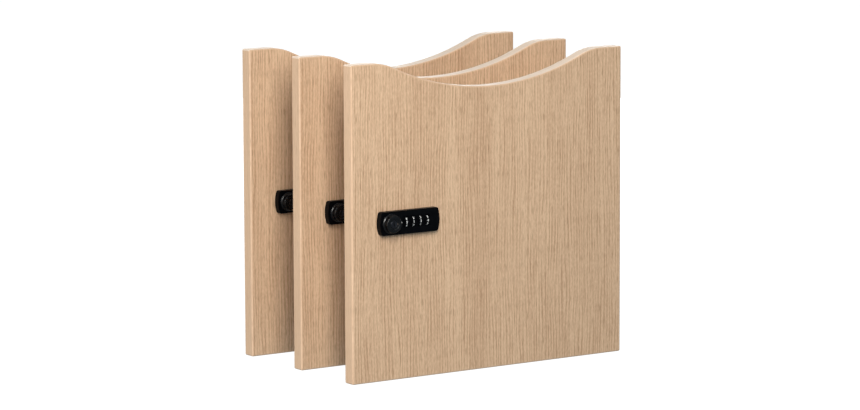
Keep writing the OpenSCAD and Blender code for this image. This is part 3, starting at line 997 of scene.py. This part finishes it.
# %% Wheel
DIGITS = 10
STEPS_PER_DIGIT = 12
GROOVE_D = 0.4 * MM
GROOVE_HALF_W = 0.17  # of the way from one digit to the next
BORE_R = 1.55 * MM
RIM_CHAMFER = 0.35 * MM
wheel_middle = DIAL_MIDDLES[0]
half_w = DIAL_W / 2
wheel_section = [
    (-half_w, BORE_R),
    (-half_w, DIAL_R - RIM_CHAMFER),
    (-half_w + 0.1 * MM, DIAL_R - 0.1 * MM),
    (-half_w + RIM_CHAMFER, DIAL_R),
    (half_w - RIM_CHAMFER, DIAL_R),
    (half_w - 0.1 * MM, DIAL_R - 0.1 * MM),
    (half_w, DIAL_R - RIM_CHAMFER),
    (half_w, BORE_R),
    (-half_w, BORE_R),
]
wheel = turned(wheel_middle, (1, 0, 0), (0, -1, 0), wheel_section, steps=DIGITS * STEPS_PER_DIGIT)
open_piece(wheel)
shape = bmesh.from_edit_mesh(wheel.data)
for vert in shape.verts:
    arm = vert.co - wheel_middle
    arm.x = 0
    turn = math.atan2(arm.z, -arm.y) / (2 * math.pi) * DIGITS
    off_groove = abs((turn - 0.5) - round(turn - 0.5))
    if arm.length > DIAL_R - 2 * RIM_CHAMFER:
        depth = GROOVE_D * max(0.0, 1 - (off_groove / GROOVE_HALF_W) ** 2)
        vert.co -= arm.normalized() * depth
bmesh.update_edit_mesh(wheel.data)
wheel = close_piece()
paint(wheel, dial_black, digit_white)
print("plain wheel:", len(wheel.data.polygons), "faces")

# %% Digits round the wheel
DIGIT_H = 3.0 * MM
HEIGHT_IN_TYPE = 0.7  # a digit's height as a share of its type size
STROKE_EXTRA = 0.06 * MM
PAINT_T = 0.05 * MM
SLICES = 8


def flat_digit(number):
    """One digit as a thin solid in its own flat place, sliced so that it can bend."""
    bpy.ops.object.select_all(action="DESELECT")
    bpy.ops.object.text_add(location=(0, 0, 0))
    text = bpy.context.object
    text.data.body = str(number)
    text.data.size = DIGIT_H / HEIGHT_IN_TYPE
    text.data.align_x = "CENTER"
    text.data.align_y = "CENTER"
    text.data.extrude = PAINT_T / 2
    text.data.offset = STROKE_EXTRA
    text.data.resolution_u = 4
    bpy.ops.object.convert(target="MESH")
    digit = bpy.context.object
    open_piece(digit)
    bpy.ops.mesh.select_all(action="SELECT")
    bpy.ops.mesh.remove_doubles(threshold=WELD)
    for step in range(1, SLICES):
        bpy.ops.mesh.select_all(action="SELECT")
        level = (step / SLICES - 0.5) * DIGIT_H * 1.1
        bpy.ops.mesh.bisect(plane_co=(0, level, 0), plane_no=(0, 1, 0))
    return close_piece()


def wrap(digit, number):
    """Bends a flat digit round the wheel, to its own tenth of the rim."""
    centre = [sum(corner[axis] for corner in digit.bound_box) / 8 for axis in range(3)]
    for vert in digit.data.vertices:
        angle = 2 * math.pi * number / DIGITS + (vert.co.y - centre[1]) / DIAL_R
        reach = DIAL_R + vert.co.z + PAINT_T / 4
        vert.co = wheel_middle + Vector((
            vert.co.x - centre[0], -reach * math.cos(angle), reach * math.sin(angle),
        ))
    paint(digit, dial_black, digit_white)
    for polygon in digit.data.polygons:
        polygon.material_index = 1
    return digit


digits = [wrap(flat_digit(number), number) for number in range(DIGITS)]
wheel = joined([wheel] + digits)
smooth(wheel, 30)
print("dial wheel:", len(wheel.data.polygons), "faces with its digits")

# %% Dials on every door
SHOWN_CODE = (5, 1, 2, 4)


def dial_for(dial):
    """The wheel moved to a dial's place, and turned until its digit of the code shows."""
    to_axis = Matrix.Translation(-wheel_middle)
    spun = Matrix.Rotation(2 * math.pi * SHOWN_CODE[dial - 1] / DIGITS, 4, "X")
    return copy_of(wheel, DIAL_MIDDLES[dial - 1], spun @ to_axis)


for dial in DIALS:
    node = f"lock_#_dial_{dial}"
    name = f"lock_#_number_dial_{dial}"
    give_to_doors(dial_for(dial), name, f"dial_#_{dial}", [node])
bpy.data.objects.remove(wheel)

# %% [markdown]
# ## Pressed and cast metal
#
# The latch cam, the clamping plate and the hinges are stamped, bent or cast, and none of them has
# a knife-sharp edge. Their shapes are right as they come, so each is a welded copy with its edges
# broken by a width that suits its sheet.

# %% Latch, plate and hinges
for node, name, body, slot, material, width in (
    ("lock_#_cam", "lock_#_latch_cam", "knob_#", "zinc_plate", zinc, 0.35 * MM),
    ("lock_#_back_plate", "lock_#_clamp_plate", "doors", "zinc_plate", zinc, 0.3 * MM),
    ("hinge_#_cups", "hinge_#_pressed_cups", "doors", "nickel", nickel, 0.3 * MM),
    ("hinge_#_arms", "hinge_#_bent_arms", "hinge_arms_#", "nickel", nickel, 0.45 * MM),
    ("hinge_#_mounting_plates", "hinge_#_cast_plates", "hinge_arms_#", "nickel", nickel, 0.5 * MM),
):
    piece = welded_copy(node.replace("#", "1"))
    soften(piece, width)
    paint(piece, material)
    give_to_doors(piece, name, body, [node])

# %% [markdown]
# ## Screws
#
# Six screws hold each door's lock and hinge cups. A screw is a domed head on a shank, with a
# cross recess that narrows downwards for the driver's tip. It is modelled once for each of its two
# lengths. The frame's own screws say where each one sits and how long it is.

# %% Screws
SCREW_HEAD_R = 3.3 * MM
SCREW_HEAD_H = 2.0 * MM
SHANK_R = 1.6 * MM
RECESS_R = 1.75 * MM
RECESS_D = 1.2 * MM
SLOT_HALF_W = 0.45 * MM
RECESS_TAPER = (0.6, 1, 0.6)


def recess_wedges():
    """Two wedges across each other in a screw's head. Their narrow bottoms look towards -Y."""
    bottom = SCREW_HEAD_H - RECESS_D
    wedges = []
    for half_x, half_z in ((RECESS_R, SLOT_HALF_W), (SLOT_HALF_W, RECESS_R)):
        block((-half_x, bottom, -half_z), (half_x, SCREW_HEAD_H + MM, half_z))
        pick("faces", is_front)
        bpy.ops.transform.resize(value=RECESS_TAPER, center_override=(0, bottom, 0))
        wedges.append(close_piece())
    return wedges


def screw(shank_l):
    """A pan-head screw on the Y axis, its seat at 0 and its head towards +Y."""
    section = [
        (-shank_l, 0),
        (-shank_l + 1.2 * MM, SHANK_R * 0.8),
        (-shank_l + 1.6 * MM, SHANK_R),
        (0, SHANK_R),
        (0, SCREW_HEAD_R - 0.15 * MM),
        (0.15 * MM, SCREW_HEAD_R),
        (0.7 * MM, SCREW_HEAD_R - 0.05 * MM),
        (1.3 * MM, SCREW_HEAD_R * 0.86),
        (1.75 * MM, SCREW_HEAD_R * 0.6),
        (SCREW_HEAD_H, SCREW_HEAD_R * 0.2),
        (SCREW_HEAD_H, 0),
    ]
    made = turned((0, 0, 0), (0, 1, 0), (1, 0, 0), section, steps=40)
    for wedge in recess_wedges():
        cut(made, wedge)
    smooth(made, 35)
    return made


# %% Screws at their places


def loose_boxes(node):
    """The box of each separate solid of a node."""
    copy = welded_copy(node)
    open_piece(copy)
    bpy.ops.mesh.separate(type="LOOSE")
    bpy.ops.object.mode_set(mode="OBJECT")
    boxes = []
    for part in list(bpy.context.selected_objects):
        corners = [Vector(corner) for corner in part.bound_box]
        boxes.append((corners[0], corners[6]))
        bpy.data.objects.remove(part)
    return boxes


screw_models = {}
placed = []
for low, high in loose_boxes("screws"):
    seat = high.y - SCREW_HEAD_H
    length = round((seat - low.y) / MM) * MM
    if length not in screw_models:
        screw_models[length] = screw(length)
    centre = (low + high) / 2
    placed.append(copy_of(screw_models[length], (centre.x, seat, centre.z)))
for model in screw_models.values():
    bpy.data.objects.remove(model)
print(len(placed), "screws of", len(screw_models), "lengths")
all_screws = joined(placed)
paint(all_screws, zinc)
all_screws.name = all_screws.data.name = "pan_head_screws"
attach(all_screws, "doors")
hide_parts("screws")

# %% [markdown]
# ## Adjusting screws of the hinges
#
# Every cup hinge has two screws in its arm that shift the door once it hangs. They are the same
# kind of screw with a shorter shank and a flat head, turned to face out of the arm.

# %% Adjusting screws
ADJUSTER_L = 3 * MM
ADJUSTERS_BACK = (11 * MM, 47 * MM)
FLATTENED = Matrix.Diagonal((0.8, 0.35, 0.8, 1))
arm_face_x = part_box("hinge_1_arms")[0].x
arm_boxes = loose_boxes("hinge_1_arms")
hinge_heights = sorted({round((low.z + high.z) / 2, 4) for low, high in arm_boxes})
turned_out = Matrix.Rotation(math.radians(90), 4, "Z") @ FLATTENED
small_screw = screw(ADJUSTER_L)
adjusters = []
for height in hinge_heights:
    for back in ADJUSTERS_BACK:
        place = (arm_face_x, DOOR_BACK + back, height)
        adjusters.append(copy_of(small_screw, place, turned_out))
bpy.data.objects.remove(small_screw)
adjuster_set = joined(adjusters)
smooth(adjuster_set, 35)
paint(adjuster_set, zinc)
give_to_doors(adjuster_set, "hinge_#_adjusting_screws", "hinge_arms_#")

# %% [markdown]
# ## Finishes of the parts that stay
#
# The boards' decor sheets, the chipboard between them and the lock's inner parts already have the
# right shape, so they keep it and only take their finish.

# %% Paint the frame's parts
FINISHES = (
    ("front_laminate", oak_decor),
    ("back_laminate", oak_decor),
    ("core", chipboard),
    ("chassis", frame_grey),
    ("blocking_bar", zinc),
    ("dial_axles", spring_steel),
    ("detent_springs", spring_steel),
)
for name, node in frame["nodes"].items():
    for ending, material in FINISHES:
        if name.endswith(ending):
            paint(node, material)
kept = [name for name, node in frame["nodes"].items() if not node.hide_render]
print(len(kept), "parts of the frame still show")

# %% [markdown]
# ## Floor and light
#
# The doors stand in a white studio with no shadow under them, as over a light table. The white
# is only for the eye: a floor and a dome that glow, and that light nothing. If they did light the
# doors, all form would drown in it. The light itself is a soft grey room and five square lamps.
# The key and the high lamp at the upper left give the faces their slow change from light to shade
# and draw the bright arcs on the knob. The side lamp lights the doors' left edges, the top lamp
# their upper ones, and the back lamp the hinges.

# %% Floor and dome
FLOOR_SIZE = 24
DOME_R = 14


def glowing(name, tone_scale):
    """White that shines by itself, with a barely visible cloudiness."""
    shader = Shader(name)
    x, y, z = shader.place()
    clouds = shader.noise(x * tone_scale, y * tone_scale, z * tone_scale, detail=1.0)
    shader.surface.inputs["Emission Strength"].default_value = 1.0
    return shader.finish(
        Base_Color=shader.mix(clouds, srgb(70, 70, 70), srgb(80, 80, 80)),
        Roughness=1.0,
        Emission_Color=(1, 1, 1, 1),
    )


def stage_piece(name, material):
    """Finishes the new primitive as a stage piece that only the camera sees."""
    piece = bpy.context.object
    bpy.ops.object.transform_apply(location=True, rotation=True, scale=True)
    piece.name = piece.data.name = name
    paint(piece, material)
    piece.visible_diffuse = piece.visible_glossy = piece.visible_shadow = False


bpy.ops.object.select_all(action="DESELECT")
bpy.ops.mesh.primitive_plane_add(size=FLOOR_SIZE, location=(0, 0, cad_box[0].z))
stage_piece("studio_floor", glowing("floor_white", 2))
bpy.ops.object.select_all(action="DESELECT")
bpy.ops.mesh.primitive_uv_sphere_add(segments=48, ring_count=24, radius=DOME_R)
stage_piece("studio_dome", glowing("dome_white", 0.3))

# %% Room and lamps
ROOM_TINT = (0.78, 0.92, 1.0, 1)
ROOM_STRENGTH = 0.30
LAMP_TINT = (1.0, 0.97, 0.93)

room = bpy.data.worlds.new("grey_room")
room.use_nodes = True
room_light = room.node_tree.nodes["Background"]
room_light.inputs["Color"].default_value = ROOM_TINT
room_light.inputs["Strength"].default_value = ROOM_STRENGTH
bpy.context.scene.world = room


def soft_lamp(name, place, size, power):
    """A square lamp that looks at the front lock. Its size is in metres and its power in watts."""
    bpy.ops.object.light_add(type="AREA", location=place)
    lamp = bpy.context.object
    lamp.name = name
    lamp.rotation_mode = "QUATERNION"
    lamp.rotation_quaternion = (LOCK_MIDDLE - Vector(place)).to_track_quat("-Z", "Y")
    lamp.data.shape = "SQUARE"
    lamp.data.size = size
    lamp.data.energy = power
    lamp.data.color = LAMP_TINT
    lamp.visible_camera = False


soft_lamp("key_lamp", (-0.95, -1.75, 0.9), 0.6, 20)
soft_lamp("high_lamp", (-0.95, -1.5, 1.35), 0.5, 14)
soft_lamp("side_lamp", (-2.6, -0.1, 0.6), 0.9, 26)
soft_lamp("top_lamp", (0.2, -0.2, 2.2), 1.0, 5)
soft_lamp("back_lamp", (1.6, 2.3, 0.5), 1.2, 52)
bpy.context.scene.view_settings.view_transform = "Standard"
bpy.context.scene.view_settings.look = "None"
print("studio: a grey room and five lamps")

# %% Measure and finish
print("CAD box", [list(corner) for corner in cad_box])
